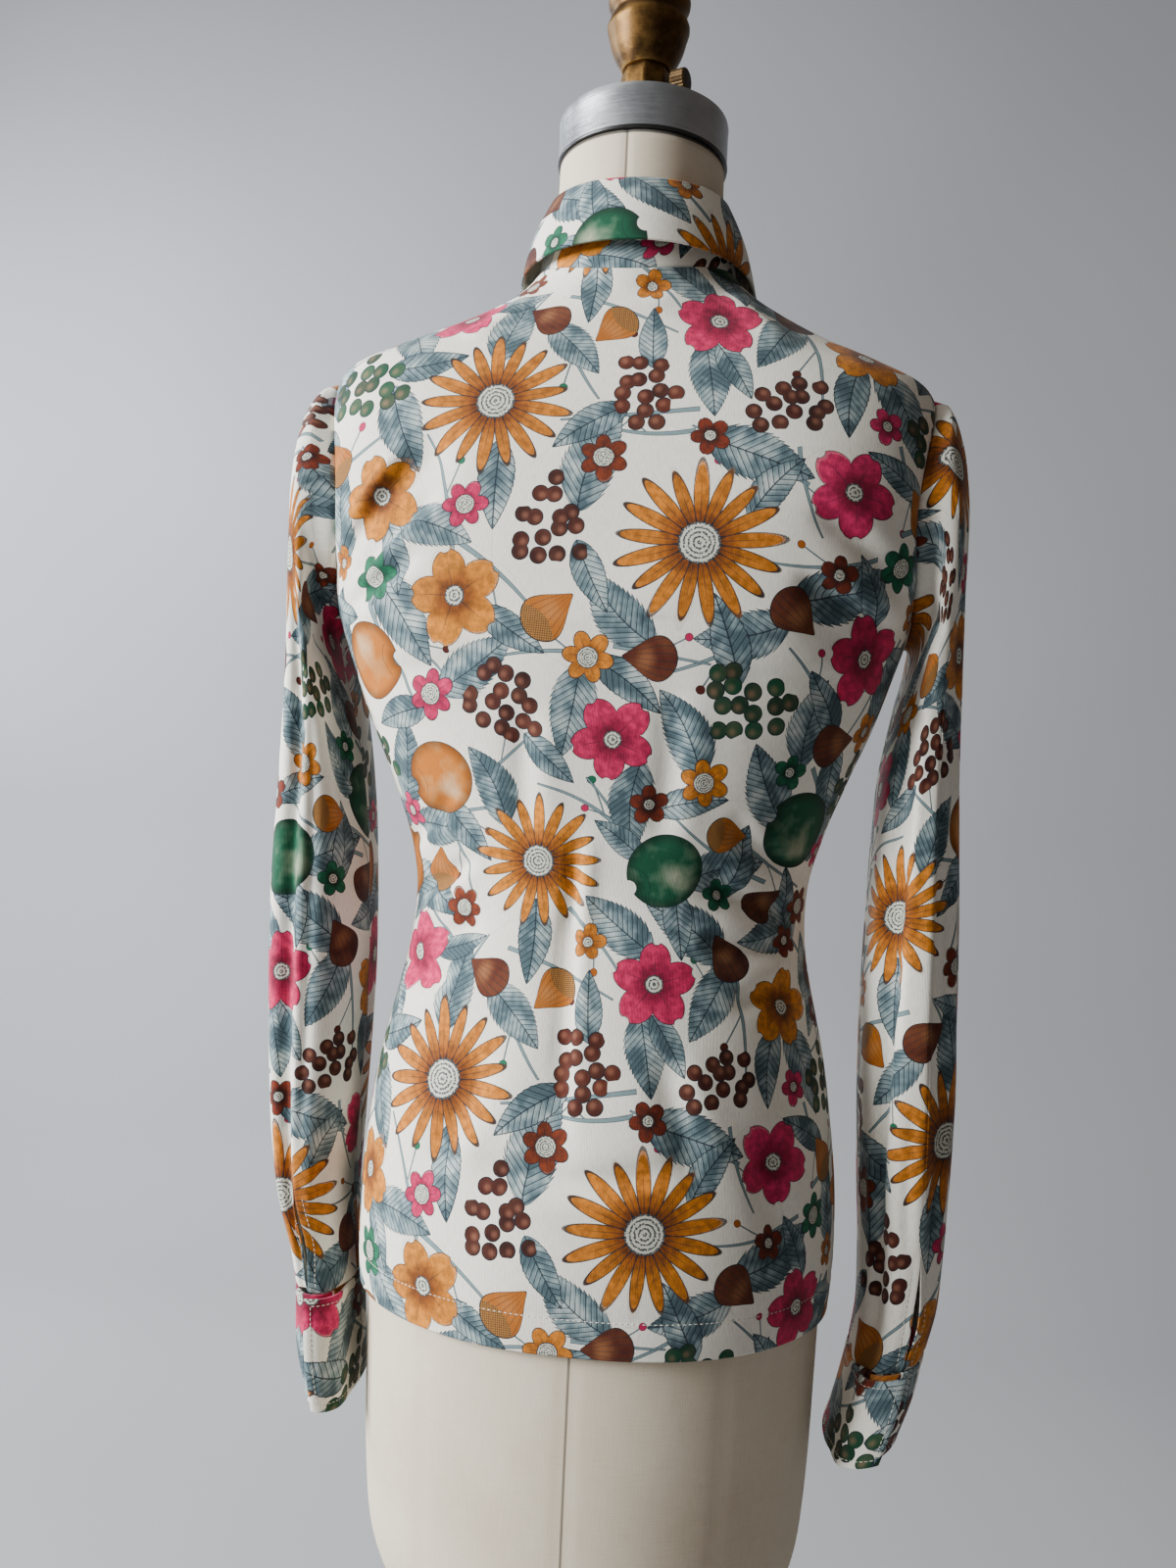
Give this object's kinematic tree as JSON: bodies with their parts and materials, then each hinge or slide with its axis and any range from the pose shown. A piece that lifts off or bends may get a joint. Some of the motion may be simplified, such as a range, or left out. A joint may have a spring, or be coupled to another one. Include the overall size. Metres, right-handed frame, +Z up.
{
  "type": "button-down shirt on a dress form",
  "caption": "Fitted long-sleeved button-down shirt of printed jersey with a tall pointed collar, on a limbless linen dress form with a metal neck cap, finial, cage, pole and round base.",
  "frame": {"origin": "on the floor, under the pole's centre line", "axes": "+Z up along the pole and the form; the shirt's front and buttons face -Y and its back +Y, so the wearer's left arm is at +X"},
  "size_m": [0.47, 0.47, 1.643],
  "materials": {
    "printed_jersey": "fine knitted jersey, ivory, with an all-over print of flowers, leaves and berries",
    "button_shell": "pearly, polished",
    "linen": "plain natural linen, drawn tight",
    "cap_aluminium": "spun, satin, lightly scratched",
    "aged_brass": "old cast brass, brown in the hollows",
    "dark_bronze": "dark, knurled",
    "black_iron": "black enamel, satin"
  },
  "bodies": {
    "root": {"back_panel": "printed_jersey", "left_front": "printed_jersey", "right_front": "printed_jersey", "left_sleeve": "printed_jersey", "right_sleeve": "printed_jersey", "left_cuff": "printed_jersey", "right_cuff": "printed_jersey", "collar_stand": "printed_jersey", "collar_fall": "printed_jersey", "left_cuff_button": "button_shell", "right_cuff_button": "button_shell", "stand_button": "button_shell", "front_button_1": "button_shell", "front_button_2": "button_shell", "front_button_3": "button_shell", "front_button_4": "button_shell", "front_button_5": "button_shell", "front_button_6": "button_shell", "front_button_7": "button_shell", "form_body": "linen", "neck_cap": "cap_aluminium", "finial": "aged_brass", "thumb_screw": "dark_bronze", "pole": "black_iron", "base": "black_iron", "cage_hoop": "black_iron", "cage_rod_1": "black_iron", "cage_rod_2": "black_iron", "cage_rod_3": "black_iron", "cage_rod_4": "black_iron", "cage_rod_5": "black_iron", "cage_rod_6": "black_iron", "cage_rod_7": "black_iron", "cage_rod_8": "black_iron"}
  },
  "joints": []
}
